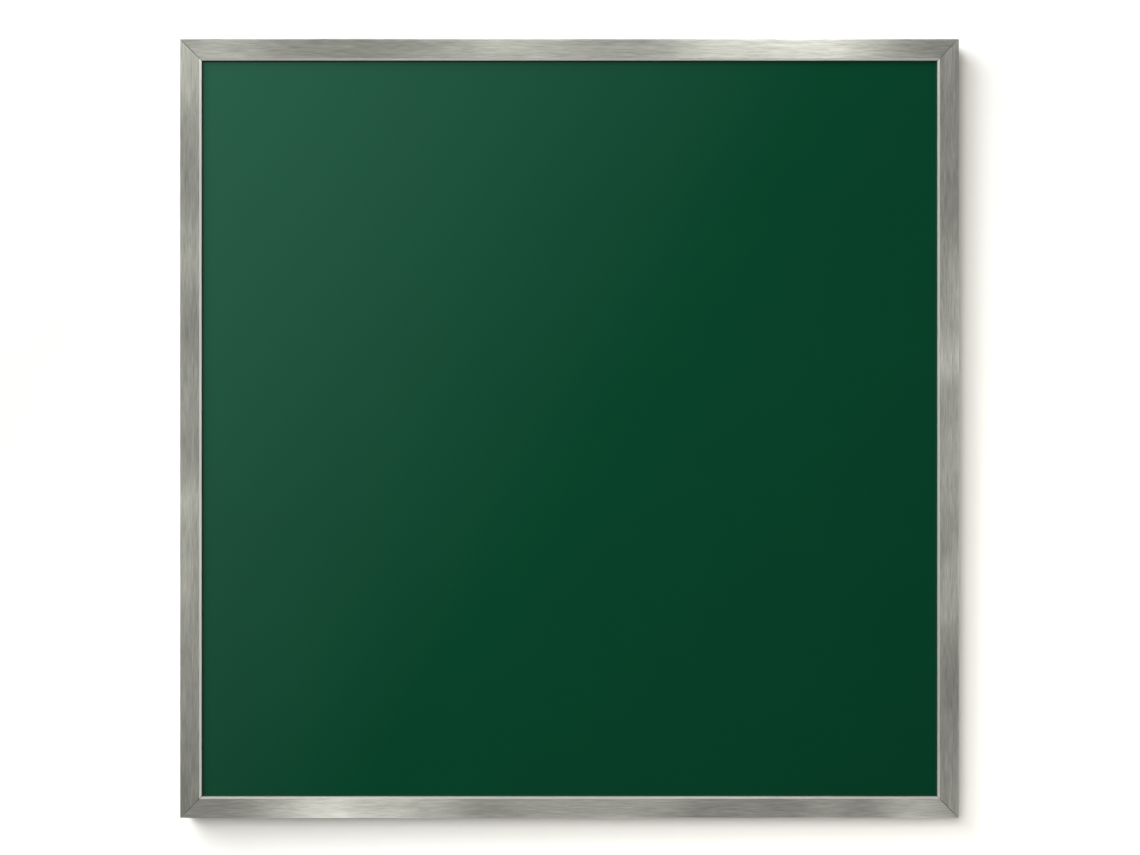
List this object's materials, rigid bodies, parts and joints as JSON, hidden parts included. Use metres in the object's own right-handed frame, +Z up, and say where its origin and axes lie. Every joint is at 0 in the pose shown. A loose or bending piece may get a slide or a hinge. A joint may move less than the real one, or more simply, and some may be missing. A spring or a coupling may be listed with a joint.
{
  "type": "magnetic glass board",
  "caption": "Square wall-hung writing board: a green back-enamelled glass pane over a steel sheet, in a slim mitred brushed-metal frame with sliding keyhole hangers behind.",
  "frame": {"origin": "the board's centre on the wall plane, where the faces of its four bumpers rest", "axes": "+X to the right seen from the front, +Z up, +Y from the front into the wall"},
  "size_m": [0.6, 0.0228, 0.6],
  "materials": {
    "frame": "brushed along each rail",
    "glass": "gloss, back-enamelled, opaque",
    "gasket": "matte",
    "steel_sheet": "galvanised",
    "hardboard": "smooth hardboard",
    "spring": "tempered",
    "corner_hardware": "zinc plated",
    "screw": "blackened",
    "hanger": "zinc plated",
    "bumper": "matte"
  },
  "bodies": {
    "board": {"rail_top": "frame", "rail_bottom": "frame", "rail_left": "frame", "rail_right": "frame", "gasket_top": "gasket", "gasket_bottom": "gasket", "gasket_left": "gasket", "gasket_right": "gasket", "glass_pane": "glass", "steel_sheet": "steel_sheet", "backing_board": "hardboard", "leaf_spring_top_1": "spring", "leaf_spring_top_2": "spring", "leaf_spring_bottom_1": "spring", "leaf_spring_bottom_2": "spring", "leaf_spring_left_1": "spring", "leaf_spring_left_2": "spring", "leaf_spring_right_1": "spring", "leaf_spring_right_2": "spring", "corner_key_top_left": "corner_hardware", "corner_key_top_right": "corner_hardware", "corner_key_bottom_left": "corner_hardware", "corner_key_bottom_right": "corner_hardware", "corner_shim_top_left": "corner_hardware", "corner_shim_top_right": "corner_hardware", "corner_shim_bottom_left": "corner_hardware", "corner_shim_bottom_right": "corner_hardware", "set_screw_top_left_1": "screw", "set_screw_top_left_2": "screw", "set_screw_top_right_1": "screw", "set_screw_top_right_2": "screw", "set_screw_bottom_left_1": "screw", "set_screw_bottom_left_2": "screw", "set_screw_bottom_right_1": "screw", "set_screw_bottom_right_2": "screw", "wall_bumper_top_left": "bumper", "wall_bumper_top_right": "bumper", "wall_bumper_bottom_left": "bumper", "wall_bumper_bottom_right": "bumper"},
    "left_hanger": {"hanger_left": "hanger"},
    "right_hanger": {"hanger_right": "hanger"}
  },
  "joints": [
    {"name": "left_hanger_slide", "type": "slide", "parent": "board", "child": "left_hanger", "axis": [1, 0, 0], "range_m": [-0.06, 0.155]},
    {"name": "right_hanger_slide", "type": "slide", "parent": "board", "child": "right_hanger", "axis": [1, 0, 0], "range_m": [-0.155, 0.06]}
  ]
}
